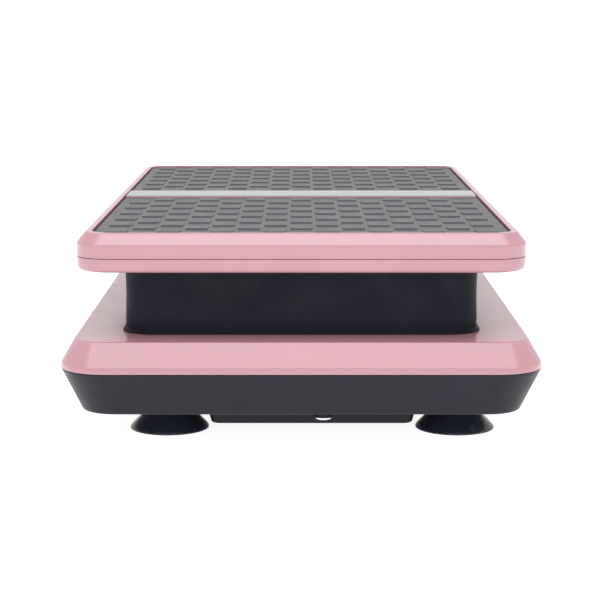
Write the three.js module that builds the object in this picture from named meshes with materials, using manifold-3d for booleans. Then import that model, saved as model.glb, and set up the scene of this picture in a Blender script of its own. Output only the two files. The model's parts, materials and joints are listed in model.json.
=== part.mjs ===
// A rocking vibration plate: a low moulded base on suction feet, a rubber sleeve round its neck, and a
// see-saw platform that a motor rocks through a belt, an eccentric and a short connecting rod.
// Millimetres. X runs across the short side, Y along the long side, Z up from the floor.
import * as THREE from 'three';
import { mergeVertices } from 'three/addons/utils/BufferGeometryUtils.js';
import Module from 'manifold-3d';

const wasm = await Module();
wasm.setup();

// ---- driving dimensions ----
const GAP = 0.3; // left between two pieces that touch
const WALL = 2.5; // moulded shells
const CORNER_CURVE = 3; // half the facets in a moulded corner
const ARC_CURVE = 9; // half the facets in any other arc
const CUP_FACETS = 28;
const TUBE_CURVE = 4; // half the sides of a wire or lead

const BASE = { halfX: 119.2, halfY: 199, radius: 24 };
const BASE_BOTTOM = 13.7;
const BASE_SEAM = 35.6;
const BASE_TOP = 50.4;
const TRAY_TAPER = 10.3; // how far the tray's wall leans in, from the seam down to its bottom
const COVER_LIP = 2.9; // the cover stands upright for this far above the seam
const COVER_TAPER = 7.4; // how far the cover leans in, from its lip up to its top

const PLATFORM = { halfX: 110.2, halfY: 190.5, radius: 16.5 };
const PLATFORM_BOTTOM = 83.9;
const PLATFORM_SEAM = 90.8;
const PLATFORM_RIM = 102.9;
const EDGE_ROUND = 4;
const CHAMFER_IN = 4.4;
const CHAMFER_DOWN = 5.4;

const TREAD = { halfX: 102.1, halfY: 183.1, radius: 11 }; // the recess that holds mats and strip
const MAT_DROP = 0.4; // the mats' tops, below the rim
const MAT_THICK = 2.9;
const STRIP_HALF = 13.5;
const STRIP_PROUD = 0.7; // the strip's top, above the mats
const DECK_THICK = 2.5;

const NECK = { halfX: 88, halfY: 171.8, radius: 12 };
const BOOT_WALL = 3;
const BOOT_TONGUE = 5.8; // the tongue's inner face, inside the sleeve's outer face
const BOOT_CLEARANCE = 3.5; // room for the platform to rock

const FOOT_RADIUS = 20;
const FEET_CENTRE_X = 5.5;
const FEET_HALF_X = 72.5;
const FEET_Y = 155.7;

const POD = { halfX: 52.5, halfY: 173, radius: 5 };
const POD_BOTTOM = 5;
const POD_TAPER = 2.2;
const POD_WALL = 2;
const POD_STEP = { from: -0.6, deep: 2.5, top: 9.6 }; // a ledge along half of either end

const ANCHOR_X = 11;
const ANCHOR_Z = 9.7;
const ANCHOR_CENTRE = 176.3; // centre of the eye's half circle, along Y
const ANCHOR_ROOT = 172.7; // the eye's ends, just clear of the cover under the tray
const ANCHOR_RADIUS = 3.4;
const ANCHOR_WIRE = 0.8;
const ANCHOR_STEPS = 16;

const CHASSIS_THICK = 2;
const SHEET = 2.5; // bracket steel
const PIVOT_Z = 68;
const PIVOT_RADIUS = 6;
const UPRIGHT_X = 66;
const HUB_X = 52;

const CRANK_Y = 100;
const CRANK_Z = 40;
const CRANK_RADIUS = 5;
const CRANK_THROW = 1.75;
const ECCENTRIC_RADIUS = 9;
const CRANK_BLOCK_X = 21;
const WRIST_Z = 68;
const WRIST_RADIUS = 3;
const WRIST_CLEARANCE = 3.8; // the rod's eye stays clear of the pin all the way round

const MOTOR_Y = -95;
const MOTOR_Z = 41.5;
const MOTOR_RADIUS = 21;
const MOTOR_BACK = -42;
const MOTOR_FACE = 20;
const MOTOR_SHAFT = 3;
const BELT_X = 34;
const BELT_HALF = 4;
const BELT_THICK = 1.7;
const CRANK_PULLEY = 17;
const MOTOR_PULLEY = 9;

const SCREW = { shank: 1.7, head: 3.4, headTall: 2, boss: 4.8 };
const BASE_SCREW_X = 95;
const BASE_SCREW_Y = 174;
const PLATFORM_SCREW_X = 97;
const PLATFORM_SCREW_Y = 178;

const INLET_Y = 122;
const SWITCH_Y = 84;
const SWITCH_TILT = THREE.MathUtils.degToRad(8); // the rocker's lean to either stop

// ---- heights and places that follow from them ----
const CHASSIS_BOTTOM = BASE_BOTTOM + WALL + GAP;
const CHASSIS_TOP = CHASSIS_BOTTOM + CHASSIS_THICK;
const BRACKET_BOTTOM = CHASSIS_TOP + GAP;
const MAT_TOP = PLATFORM_RIM - MAT_DROP;
const MAT_BOTTOM = MAT_TOP - MAT_THICK;
const DECK_TOP = MAT_BOTTOM - GAP;
const DECK_BOTTOM = DECK_TOP - DECK_THICK;
const FRAME_BOTTOM = PLATFORM_BOTTOM + WALL + GAP;
const HANGER_TOP = FRAME_BOTTOM - GAP;
const HANGER_BOTTOM = HANGER_TOP - 2;
const TRAY_LEAN = Math.atan(TRAY_TAPER / (BASE_SEAM - BASE_BOTTOM));

// ---- materials ----
function finish(colour, roughness, metalness = 0) {
  return new THREE.MeshStandardMaterial({ color: colour, roughness, metalness });
}

const FINISH = {
  pink: finish(0xe3b0bb, 0.42),
  charcoal: finish(0x3c3e46, 0.6),
  sleeve: finish(0x25242d, 0.85),
  tread: finish(0x3c3d41, 0.6),
  strip: finish(0xd7d5d7, 0.35),
  rubber: finish(0x1c1f29, 0.5),
  steel: finish(0xb8bbc0, 0.3, 1),
  zinc: finish(0xa3a7ad, 0.45, 1),
  iron: finish(0x4a4c50, 0.6, 1),
  motor: finish(0x2b2d31, 0.45, 0.6),
  board: finish(0x1f5a38, 0.5),
  fitting: finish(0x1a1a1d, 0.35),
};

// ---- solids ----
function toSolid(geometry) {
  const bare = geometry.clone();
  bare.deleteAttribute('normal');
  bare.deleteAttribute('uv');
  const merged = mergeVertices(bare, 1e-4);
  const mesh = new wasm.Mesh({
    numProp: 3,
    vertProperties: new Float32Array(merged.attributes.position.array),
    triVerts: new Uint32Array(merged.index.array),
  });
  return new wasm.Manifold(mesh);
}

function toGeometry(solid) {
  const mesh = solid.getMesh();
  const geometry = new THREE.BufferGeometry();
  geometry.setAttribute('position', new THREE.BufferAttribute(mesh.vertProperties, 3));
  geometry.setIndex(new THREE.BufferAttribute(mesh.triVerts, 1));
  geometry.computeVertexNormals();
  return geometry;
}

function cut(body, ...tools) {
  const start = toSolid(body);
  return toGeometry(tools.reduce((left, tool) => left.subtract(toSolid(tool)), start));
}

function join(first, ...others) {
  const start = toSolid(first);
  return toGeometry(others.reduce((left, other) => left.add(toSolid(other)), start));
}

// A moulded block: a rounded rectangle drawn in by [z, inset] at each level.
function block({ halfX, halfY, radius }, levels) {
  const coreX = halfX - radius;
  const coreY = halfY - radius;
  const outline = new THREE.Shape();
  outline.absarc(coreX, coreY, radius, 0, Math.PI / 2);
  outline.absarc(-coreX, coreY, radius, Math.PI / 2, Math.PI);
  outline.absarc(-coreX, -coreY, radius, Math.PI, Math.PI * 1.5);
  outline.absarc(coreX, -coreY, radius, Math.PI * 1.5, Math.PI * 2);
  const geometry = new THREE.ExtrudeGeometry(outline, {
    depth: levels.length - 1,
    steps: levels.length - 1,
    bevelEnabled: false,
    curveSegments: CORNER_CURVE,
  });
  const place = geometry.attributes.position;
  const core = new THREE.Vector2();
  const outward = new THREE.Vector2();
  for (let i = 0; i < place.count; i += 1) {
    const [z, inset] = levels[Math.round(place.getZ(i))];
    const x = place.getX(i);
    const y = place.getY(i);
    core.set(THREE.MathUtils.clamp(x, -coreX, coreX), THREE.MathUtils.clamp(y, -coreY, coreY));
    outward.set(x, y).sub(core).normalize();
    place.setXYZ(i, x - outward.x * inset, y - outward.y * inset, z);
  }
  return geometry;
}

// The same outline, moved inward all round.
function shrink({ halfX, halfY, radius }, by) {
  return { halfX: halfX - by, halfY: halfY - by, radius: Math.max(radius - by, 1) };
}

function roundedFoot(bottom, radius, steps) {
  return Array.from({ length: steps + 1 }, (_, k) => {
    const turn = ((k / steps) * Math.PI) / 2;
    return [bottom + radius * (1 - Math.cos(turn)), radius * (1 - Math.sin(turn))];
  });
}

function box(x0, x1, y0, y1, z0, z1) {
  const geometry = new THREE.BoxGeometry(x1 - x0, y1 - y0, z1 - z0);
  return geometry.translate((x0 + x1) / 2, (y0 + y1) / 2, (z0 + z1) / 2);
}

// More facets on a bigger round.
function facets(radius) {
  if (radius < 5) return 12;
  return radius < 12 ? 18 : 28;
}

function postZ(radius, x, y, z0, z1) {
  const geometry = new THREE.CylinderGeometry(radius, radius, z1 - z0, facets(radius));
  return geometry.rotateX(Math.PI / 2).translate(x, y, (z0 + z1) / 2);
}

function rodX(radius, x0, x1, y, z) {
  const geometry = new THREE.CylinderGeometry(radius, radius, x1 - x0, facets(radius));
  return geometry.rotateZ(Math.PI / 2).translate((x0 + x1) / 2, y, z);
}

// An outline in Y and Z, given thickness along X.
function plateX(outline, x0, x1) {
  const geometry = new THREE.ExtrudeGeometry(outline, {
    depth: x1 - x0,
    bevelEnabled: false,
    curveSegments: ARC_CURVE,
  });
  const turn = new THREE.Matrix4().set(0, 0, 1, x0, 1, 0, 0, 0, 0, 1, 0, 0, 0, 0, 0, 1);
  return geometry.applyMatrix4(turn);
}

function hole(y, z, radius) {
  return new THREE.Path().absarc(y, z, radius, 0, Math.PI * 2);
}

function ringX(outer, inner, x0, x1, y, z) {
  const outline = new THREE.Shape().absarc(y, z, outer, 0, Math.PI * 2);
  outline.holes.push(hole(y, z, inner));
  return plateX(outline, x0, x1);
}

function tube(points, radius) {
  const section = new THREE.Shape().absarc(0, 0, radius, 0, Math.PI * 2);
  const path = new THREE.CatmullRomCurve3(points.map((point) => new THREE.Vector3(...point)));
  return new THREE.ExtrudeGeometry(section, { extrudePath: path, steps: 22, curveSegments: TUBE_CURVE });
}

const group = new THREE.Group();

function add(name, geometry, material, parent = group) {
  const mesh = new THREE.Mesh(geometry, material);
  mesh.name = name;
  parent.add(mesh);
  return mesh;
}

const CORNERS = [
  ['front_left', -1, -1],
  ['front_right', 1, -1],
  ['rear_left', -1, 1],
  ['rear_right', 1, 1],
];

const SIDES = [
  ['left', -1],
  ['right', 1],
];

// ---- base ----

// A place on the tray's +X wall: local X points out of the wall, local Z up its slope.
function wallFrame(y) {
  const frame = new THREE.Group();
  const middle = (BASE_BOTTOM + BASE_SEAM) / 2;
  frame.position.set(BASE.halfX - TRAY_TAPER / 2, y, middle);
  frame.rotation.y = TRAY_LEAN;
  frame.updateMatrix();
  return frame;
}

const INLET_BODY = { deep: 15, halfY: 11, halfZ: 6.5 };
const SWITCH_BODY = { deep: 13, halfY: 9.5, halfZ: 6.5 };
const BEZEL_RIM = 1.6;
const BEZEL_THICK = 1.2;

function bodyBox({ deep, halfY, halfZ }, grow, front) {
  return box(-deep - grow, front, -halfY - grow, halfY + grow, -halfZ - grow, halfZ + grow);
}

function bezelBox({ halfY, halfZ }) {
  const y = halfY + BEZEL_RIM;
  const z = halfZ + BEZEL_RIM;
  return box(GAP, GAP + BEZEL_THICK, -y, y, -z, z);
}

function makeBaseTray() {
  const outer = block(BASE, [[BASE_BOTTOM, TRAY_TAPER], [BASE_SEAM - GAP / 2, 0]]);
  const floorInset = TRAY_TAPER * (1 - WALL / (BASE_SEAM - BASE_BOTTOM));
  const inner = block(shrink(BASE, WALL), [[BASE_BOTTOM + WALL, floorInset], [BASE_SEAM, 0]]);
  const bosses = CORNERS.map(([, sx, sy]) =>
    postZ(SCREW.boss, sx * BASE_SCREW_X, sy * BASE_SCREW_Y, BASE_BOTTOM + 1, BASE_SEAM - GAP / 2));
  const screwHoles = CORNERS.flatMap(([, sx, sy]) => [
    postZ(SCREW.shank + GAP, sx * BASE_SCREW_X, sy * BASE_SCREW_Y, BASE_BOTTOM - 1, BASE_SEAM + 1),
    postZ(SCREW.head + GAP, sx * BASE_SCREW_X, sy * BASE_SCREW_Y, BASE_BOTTOM - 1, BASE_BOTTOM + 3),
  ]);
  const studHoles = CORNERS.map(([, sx, sy]) =>
    postZ(3 + GAP, FEET_CENTRE_X + sx * FEET_HALF_X, sy * FEET_Y, BASE_BOTTOM - 1, BASE_SEAM));
  const wallHoles = [[INLET_Y, INLET_BODY], [SWITCH_Y, SWITCH_BODY]].map(([y, body]) =>
    bodyBox(body, GAP, 4).applyMatrix4(wallFrame(y).matrix));
  const shell = cut(outer, inner);
  return cut(join(shell, ...bosses), ...screwHoles, ...studHoles, ...wallHoles);
}

function makeBaseCover() {
  const rise = BASE_TOP - BASE_SEAM;
  const outer = block(BASE, [[BASE_SEAM + GAP / 2, 0], [BASE_SEAM + COVER_LIP, 0], [BASE_TOP, COVER_TAPER]]);
  const roofInset = COVER_TAPER * (1 - WALL / rise);
  const inner = block(shrink(BASE, WALL), [[BASE_SEAM, 0], [BASE_TOP - WALL, roofInset]]);
  const mouth = block(shrink(NECK, BOOT_WALL), [[BASE_SEAM, 0], [BASE_TOP + 1, 0]]);
  const bosses = CORNERS.map(([, sx, sy]) =>
    postZ(SCREW.boss, sx * BASE_SCREW_X, sy * BASE_SCREW_Y, BASE_SEAM + GAP / 2, BASE_TOP - 1));
  const screwHoles = CORNERS.map(([, sx, sy]) =>
    postZ(SCREW.shank + GAP, sx * BASE_SCREW_X, sy * BASE_SCREW_Y, BASE_SEAM - 1, BASE_TOP - WALL));
  return cut(join(cut(outer, inner, mouth), ...bosses), ...screwHoles);
}

function makeNeckBoot() {
  const bottom = BASE_TOP + GAP;
  const top = PLATFORM_BOTTOM - BOOT_CLEARANCE;
  const shoulder = bottom + 2;
  const tongueBottom = BASE_TOP - 4;
  const sleeve = block(NECK, [[bottom, 0], [top, 0]]);
  const bore = block(shrink(NECK, BOOT_WALL), [[shoulder, 0], [top + 1, 0]]);
  const tongue = block(shrink(NECK, BOOT_WALL + GAP), [[tongueBottom, 0], [shoulder - 1, 0]]);
  const mouth = block(shrink(NECK, BOOT_TONGUE), [[tongueBottom - 1, 0], [shoulder + 1, 0]]);
  return cut(join(sleeve, tongue), bore, mouth);
}

function makeBootRetainer() {
  const top = BASE_TOP - WALL - GAP;
  const levels = [[top - 2.4, 0], [top, 0]];
  const outer = block(shrink(NECK, -3), levels);
  const inner = block(shrink(NECK, BOOT_WALL), [[top - 4, 0], [top + 1, 0]]);
  return cut(outer, inner);
}

function makeSuctionFoot() {
  const top = BASE_BOTTOM - GAP;
  const profile = [
    [0, 6.6], [9, 5.6], [13.5, 3.4], [17.4, 0], [FOOT_RADIUS, 0], [FOOT_RADIUS, 0.9],
    [19.1, 1.9], [14.8, 6], [11.6, 9.2], [10.6, 10.4], [10.6, top], [3 + GAP, top],
    [3 + GAP, 9], [0, 9],
  ].map(([r, z]) => new THREE.Vector2(r, z));
  const cup = new THREE.LatheGeometry(profile, CUP_FACETS);
  return cup.rotateX(Math.PI / 2);
}

function makeFootStud() {
  const shank = postZ(3, 0, 0, 9 + GAP, 22);
  const nut = new THREE.CylinderGeometry(6, 6, 3, 6).rotateX(Math.PI / 2);
  nut.translate(0, 0, BASE_BOTTOM + WALL + GAP + 1.5);
  return join(shank, nut);
}

function makeBottomCover() {
  const top = BASE_BOTTOM - GAP;
  const outer = block(POD, [[POD_BOTTOM, POD_TAPER + 1], [POD_BOTTOM + 1, POD_TAPER - 0.4], [top, 0]]);
  const room = { halfX: POD.halfX - POD_WALL, halfY: POD.halfY - POD_WALL - POD_STEP.deep, radius: 3 };
  const inner = block(room, [[POD_BOTTOM + POD_WALL, POD_TAPER - 1], [top + 1, 0]]);
  const reach = POD.halfY - POD_STEP.deep;
  const ledges = [[reach, POD.halfY + 1], [-POD.halfY - 1, -reach]].map(([y0, y1]) =>
    box(POD_STEP.from, POD.halfX + 1, y0, y1, POD_STEP.top, top + 1));
  const slots = [-1, 1].flatMap((side) =>
    Array.from({ length: 7 }, (_, k) => {
      const y = side * (70 + 8 * k);
      return box(-28, 28, y - 1.5, y + 1.5, POD_BOTTOM - 1, POD_BOTTOM + POD_WALL + 1);
    }));
  return cut(outer, inner, ...ledges, ...slots);
}

// A wire eye lying flat: two short legs and a half circle, opening towards -Y.
function makeBandAnchor() {
  const loop = new THREE.CurvePath();
  const root = ANCHOR_CENTRE - ANCHOR_ROOT;
  const arc = Array.from({ length: ANCHOR_STEPS + 1 }, (_, k) => {
    const turn = Math.PI + (Math.PI * k) / ANCHOR_STEPS;
    return new THREE.Vector3(ANCHOR_RADIUS * Math.cos(turn), ANCHOR_RADIUS * Math.sin(turn), 0);
  });
  const points = [arc[0].clone().setY(root), ...arc, arc[ANCHOR_STEPS].clone().setY(root)];
  for (let k = 1; k < points.length; k += 1) {
    loop.add(new THREE.LineCurve3(points[k - 1], points[k]));
  }
  const wire = new THREE.Shape().absarc(0, 0, ANCHOR_WIRE, 0, Math.PI * 2);
  return new THREE.ExtrudeGeometry(wire, { extrudePath: loop, steps: 22, curveSegments: TUBE_CURVE });
}

function makeChassisPlate() {
  const plate = block({ halfX: 92, halfY: 135, radius: 6 }, [[CHASSIS_BOTTOM, 0], [CHASSIS_TOP, 0]]);
  const windows = [[-60, -85], [66, -70], [66, 66]].map(([x, y]) =>
    block({ halfX: 13, halfY: 24, radius: 5 }, [[CHASSIS_BOTTOM - 1, 0], [CHASSIS_TOP + 1, 0]])
      .translate(x, y, 0));
  return cut(plate, ...windows);
}

function makePivotBracket(side) {
  const outline = new THREE.Shape();
  outline.moveTo(-28, BRACKET_BOTTOM);
  outline.lineTo(28, BRACKET_BOTTOM);
  outline.lineTo(28, BRACKET_BOTTOM + 8);
  outline.lineTo(11, PIVOT_Z);
  outline.absarc(0, PIVOT_Z, 11, 0, Math.PI);
  outline.lineTo(-28, BRACKET_BOTTOM + 8);
  outline.holes.push(hole(0, PIVOT_Z, PIVOT_RADIUS + GAP));
  const upright = plateX(outline, UPRIGHT_X - 2, UPRIGHT_X + 2);
  const foot = box(UPRIGHT_X, UPRIGHT_X + 20, -28, 28, BRACKET_BOTTOM, BRACKET_BOTTOM + SHEET);
  const bracket = join(upright, foot);
  return side > 0 ? bracket : bracket.rotateZ(Math.PI);
}

function makeCrankBlock() {
  const outline = new THREE.Shape();
  const low = BRACKET_BOTTOM;
  outline.moveTo(-17, low);
  outline.lineTo(17, low);
  outline.lineTo(17, low + 5);
  outline.lineTo(12.5, low + 5);
  outline.lineTo(12.5, CRANK_Z);
  outline.absarc(0, CRANK_Z, 12.5, 0, Math.PI);
  outline.lineTo(-12.5, low + 5);
  outline.lineTo(-17, low + 5);
  outline.holes.push(hole(0, CRANK_Z, 9 + GAP));
  return plateX(outline, -6, 6);
}

function makeMotorBody() {
  const can = rodX(MOTOR_RADIUS, MOTOR_BACK, MOTOR_FACE, MOTOR_Y, MOTOR_Z);
  const backCap = rodX(MOTOR_RADIUS - 4, MOTOR_BACK - 4, MOTOR_BACK + 1, MOTOR_Y, MOTOR_Z);
  const boss = rodX(7, MOTOR_FACE - 1, MOTOR_FACE + 4, MOTOR_Y, MOTOR_Z);
  const bore = rodX(MOTOR_SHAFT + GAP, 10, MOTOR_FACE + 5, MOTOR_Y, MOTOR_Z);
  return cut(join(can, backCap, boss), bore);
}

function makeMotorBracket() {
  const face = MOTOR_FACE + GAP;
  const outline = new THREE.Shape();
  outline.moveTo(MOTOR_Y - 25, BRACKET_BOTTOM);
  outline.lineTo(MOTOR_Y + 25, BRACKET_BOTTOM);
  outline.lineTo(MOTOR_Y + 25, MOTOR_Z);
  outline.absarc(MOTOR_Y, MOTOR_Z, 23, 0, Math.PI);
  outline.lineTo(MOTOR_Y - 25, MOTOR_Z);
  outline.holes.push(hole(MOTOR_Y, MOTOR_Z, 7 + GAP));
  const front = plateX(outline, face, face + SHEET);
  const foot = box(face, face + 24, MOTOR_Y - 25, MOTOR_Y + 25, BRACKET_BOTTOM, BRACKET_BOTTOM + SHEET);
  return join(front, foot);
}

// The belt's outline at a distance from both pulleys: two arcs joined by their common tangents.
function addBeltLoop(outline, grow) {
  const alongY = CRANK_Y - MOTOR_Y;
  const alongZ = CRANK_Z - MOTOR_Z;
  const line = Math.atan2(alongZ, alongY);
  const wrap = Math.acos((MOTOR_PULLEY - CRANK_PULLEY) / Math.hypot(alongY, alongZ));
  outline.absarc(CRANK_Y, CRANK_Z, CRANK_PULLEY + grow, line - wrap, line + wrap);
  outline.absarc(MOTOR_Y, MOTOR_Z, MOTOR_PULLEY + grow, line + wrap, line - wrap + Math.PI * 2);
  return outline;
}

function makeDriveBelt() {
  const outline = addBeltLoop(new THREE.Shape(), GAP + BELT_THICK);
  outline.holes.push(addBeltLoop(new THREE.Path(), GAP));
  return plateX(outline, BELT_X - BELT_HALF, BELT_X + BELT_HALF);
}

function makePulley(radius, bore, y, z) {
  const inner = BELT_X - BELT_HALF - GAP;
  const outer = BELT_X + BELT_HALF + GAP;
  const drum = rodX(radius, inner - 1, outer + 1, y, z);
  const flanges = [[inner - 1, inner], [outer, outer + 1]].map(([x0, x1]) =>
    rodX(radius + 2, x0, x1, y, z));
  return cut(join(drum, ...flanges), rodX(bore + GAP, inner - 3, outer + 3, y, z));
}

function makeControlBoard() {
  const low = BRACKET_BOTTOM + 2.5;
  const board = box(-89, -47, 38, 112, low, low + 1.6);
  const posts = [[-86, 41], [-50, 41], [-86, 109], [-50, 109]].map(([x, y]) =>
    postZ(2, x, y, BRACKET_BOTTOM, low + 1));
  const transformer = box(-84, -62, 84, 106, low + 1, low + 18);
  const heatSink = box(-58, -51, 50, 80, low + 1, low + 20);
  const capacitors = [52, 66].map((y) => postZ(5, -76, y, low + 1, low + 15));
  const relay = box(-70, -61, 60, 76, low + 1, low + 11);
  return join(board, ...posts, transformer, heatSink, ...capacitors, relay);
}

function makePowerInlet() {
  const body = join(bodyBox(INLET_BODY, 0, GAP + 1), bezelBox(INLET_BODY));
  const socket = block({ halfX: 4, halfY: 8, radius: 3.9 }, [[-10, 0], [2, 0]]).rotateY(Math.PI / 2);
  const pins = [-4, 4].map((y) => rodX(1.1, -11, -2, y, 0));
  return join(cut(body, socket), ...pins);
}

function makeSwitchHousing() {
  const body = join(bodyBox(SWITCH_BODY, 0, GAP + 1), bezelBox(SWITCH_BODY));
  return cut(body, box(-9, 3, -8, 8, -5.2, 5.2));
}

function makeSwitchRocker() {
  const outline = new THREE.Shape();
  outline.moveTo(-4.4, -3.2);
  outline.lineTo(4.4, -3.2);
  outline.lineTo(4.6, 2.6);
  outline.lineTo(0, 1.9);
  outline.lineTo(-4.6, 2.6);
  const rocker = new THREE.ExtrudeGeometry(outline, { depth: 15.2, bevelEnabled: false });
  const turn = new THREE.Matrix4().set(0, 1, 0, 0, 0, 0, 1, -7.6, 1, 0, 0, 0, 0, 0, 0, 1);
  return rocker.applyMatrix4(turn);
}

function buildBase() {
  add('base_tray', makeBaseTray(), FINISH.charcoal);
  add('base_cover', makeBaseCover(), FINISH.pink);
  add('neck_boot', makeNeckBoot(), FINISH.sleeve);
  add('boot_retainer', makeBootRetainer(), FINISH.charcoal);
  add('bottom_cover', makeBottomCover(), FINISH.charcoal).position.x = FEET_CENTRE_X - 0.3;
  for (const [name, sx, sy] of CORNERS) {
    const x = FEET_CENTRE_X + sx * FEET_HALF_X;
    add(`suction_foot_${name}`, makeSuctionFoot(), FINISH.rubber).position.set(x, sy * FEET_Y, 0);
    add(`foot_stud_${name}`, makeFootStud(), FINISH.zinc).position.set(x, sy * FEET_Y, 0);
    const shank = postZ(SCREW.shank, 0, 0, BASE_BOTTOM + 0.8, BASE_TOP - WALL - 2);
    const head = postZ(SCREW.head, 0, 0, BASE_BOTTOM + 0.8, BASE_BOTTOM + 0.8 + SCREW.headTall);
    const screw = add(`base_screw_${name}`, join(shank, head), FINISH.zinc);
    screw.position.set(sx * BASE_SCREW_X, sy * BASE_SCREW_Y, 0);
  }
  for (const [name, side] of [['front', -1], ['rear', 1]]) {
    const anchor = add(`band_anchor_${name}`, makeBandAnchor(), FINISH.steel);
    anchor.position.set(ANCHOR_X, side * ANCHOR_CENTRE, ANCHOR_Z);
    anchor.rotation.z = side > 0 ? Math.PI : 0;
  }
}

function buildDrive() {
  add('chassis_plate', makeChassisPlate(), FINISH.zinc);
  for (const [name, side] of SIDES) {
    add(`pivot_bracket_${name}`, makePivotBracket(side), FINISH.zinc);
    const housing = add(`crank_block_${name}`, makeCrankBlock(), FINISH.iron);
    housing.position.set(side * CRANK_BLOCK_X, CRANK_Y, 0);
    const bearing = add(`crank_bearing_${name}`, ringX(9, CRANK_RADIUS + GAP, -5, 5, 0, 0), FINISH.steel);
    bearing.position.set(side * CRANK_BLOCK_X, CRANK_Y, CRANK_Z);
  }
  add('pivot_shaft', rodX(PIVOT_RADIUS, -UPRIGHT_X - 6, UPRIGHT_X + 6, 0, PIVOT_Z), FINISH.steel);
  add('motor_body', makeMotorBody(), FINISH.motor);
  add('motor_bracket', makeMotorBracket(), FINISH.zinc);
  add('drive_belt', makeDriveBelt(), FINISH.rubber);
  add('control_board', makeControlBoard(), FINISH.board);
  const motorLead = [[-62, 35.2, 23], [-58, 18, 22.5], [-57, -20, 22.5], [-57, -62, 24], [-57, -84, 34],
    [-53, -92, 40], [-47.8, -93, 41]];
  const inletLead = [[96, 122, 24], [84, 134, 21.5], [40, 142, 20.2], [-20, 141, 20.2], [-56, 128, 22],
    [-67, 115, 22.6]];
  add('motor_lead', tube(motorLead, 2), FINISH.fitting);
  add('inlet_lead', tube(inletLead, 2), FINISH.fitting);
}

function buildWallFittings() {
  const inletFrame = wallFrame(INLET_Y);
  add('power_inlet', makePowerInlet(), FINISH.fitting, inletFrame);
  const switchFrame = wallFrame(SWITCH_Y);
  add('switch_housing', makeSwitchHousing(), FINISH.fitting, switchFrame);
  const rocker = add('switch_rocker', makeSwitchRocker(), FINISH.fitting, switchFrame);
  rocker.rotation.y = -SWITCH_TILT;
  group.add(inletFrame, switchFrame);
}

// ---- rotating pieces ----
function buildCrank() {
  const shaft = rodX(CRANK_RADIUS, -CRANK_BLOCK_X - 9, BELT_X + 9, CRANK_Y, CRANK_Z);
  const lobe = rodX(ECCENTRIC_RADIUS, -6, 6, CRANK_Y + CRANK_THROW, CRANK_Z);
  add('crankshaft', join(shaft, lobe), FINISH.steel);
  add('crank_pulley', makePulley(CRANK_PULLEY, CRANK_RADIUS, CRANK_Y, CRANK_Z), FINISH.zinc);
  add('motor_shaft', rodX(MOTOR_SHAFT, 10 + GAP, BELT_X + 8, MOTOR_Y, MOTOR_Z), FINISH.steel);
  add('motor_pulley', makePulley(MOTOR_PULLEY, MOTOR_SHAFT, MOTOR_Y, MOTOR_Z), FINISH.zinc);
}

function makeConnectingRod(bigBore, eyeBore) {
  const y = CRANK_Y + CRANK_THROW;
  const web = box(-5, 5, y - 7, y + 7, CRANK_Z, WRIST_Z);
  const ends = [rodX(bigBore + 3.7, -5, 5, y, CRANK_Z), rodX(eyeBore + 2.4, -5, 5, y, WRIST_Z)];
  const bores = [rodX(bigBore, -7, 7, y, CRANK_Z), rodX(eyeBore, -7, 7, y, WRIST_Z)];
  return cut(join(web, ...ends), ...bores);
}

function buildRod() {
  const y = CRANK_Y + CRANK_THROW;
  const bearingOuter = ECCENTRIC_RADIUS + GAP + 3.2;
  const bushInner = WRIST_RADIUS + WRIST_CLEARANCE;
  const bushOuter = bushInner + 2;
  add('connecting_rod', makeConnectingRod(bearingOuter + GAP, bushOuter + GAP), FINISH.iron);
  const bearing = ringX(bearingOuter, ECCENTRIC_RADIUS + GAP, -5, 5, y, CRANK_Z);
  add('rod_bearing', bearing, FINISH.steel);
  add('rod_bush', ringX(bushOuter, bushInner, -5.5, 5.5, y, WRIST_Z), FINISH.rubber);
}

// ---- platform ----
const HUB_HALF = 30;
const HUB_FLANGE = 9;
const DRIVE_HALF = 18;
const DRIVE_FLANGE = 20;

function hangerWindows() {
  const hubs = SIDES.map(([, side]) => {
    const x = side * HUB_X;
    const reach = HUB_FLANGE + GAP;
    const y = HUB_HALF + GAP;
    return box(x - reach, x + reach, -y, y, PLATFORM_BOTTOM - 1, FRAME_BOTTOM);
  });
  const x = DRIVE_FLANGE + GAP;
  const y = DRIVE_HALF + GAP;
  return [...hubs, box(-x, x, CRANK_Y - y, CRANK_Y + y, PLATFORM_BOTTOM - 1, FRAME_BOTTOM)];
}

function makePlatformBase() {
  const top = PLATFORM_SEAM - GAP / 2;
  const outer = block(PLATFORM, [...roundedFoot(PLATFORM_BOTTOM, EDGE_ROUND, 4), [top, 0]]);
  const inner = block(shrink(PLATFORM, WALL), [[PLATFORM_BOTTOM + WALL, 0], [top + 1, 0]]);
  const screws = CORNERS.flatMap(([, sx, sy]) => [
    [SCREW.shank + GAP, 4],
    [SCREW.head + GAP, 1.6],
  ].map(([radius, deep]) =>
    postZ(radius, sx * PLATFORM_SCREW_X, sy * PLATFORM_SCREW_Y, PLATFORM_BOTTOM - 1,
      PLATFORM_BOTTOM + deep)));
  return cut(outer, inner, ...hangerWindows(), ...screws);
}

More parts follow.
